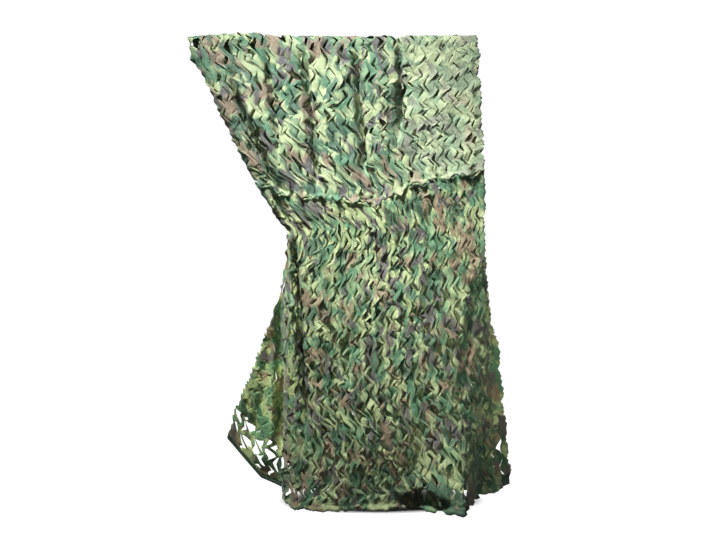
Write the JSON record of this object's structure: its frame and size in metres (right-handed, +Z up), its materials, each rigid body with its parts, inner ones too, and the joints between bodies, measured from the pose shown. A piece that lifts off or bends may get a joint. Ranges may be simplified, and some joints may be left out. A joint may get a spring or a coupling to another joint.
{
  "type": "camouflage net",
  "caption": "Leaf-cut woodland camouflage net of sewn strips, folded over a rail and hanging to the floor with one side drawn in.",
  "frame": {"origin": "middle of the crest of the top fold, where the net passes over what holds it", "axes": "+Z up, -Y towards the front face, +X to the right of someone facing the front"},
  "size_m": [1.2896, 0.4938, 1.8349],
  "materials": {
    "woodland_cloth": "matt woven polyester, leaf-cut, printed in woodland greens and browns"
  },
  "bodies": {
    "root": {"front_lower_strip": "woodland_cloth", "top_strip": "woodland_cloth", "back_lower_strip": "woodland_cloth"}
  },
  "joints": []
}
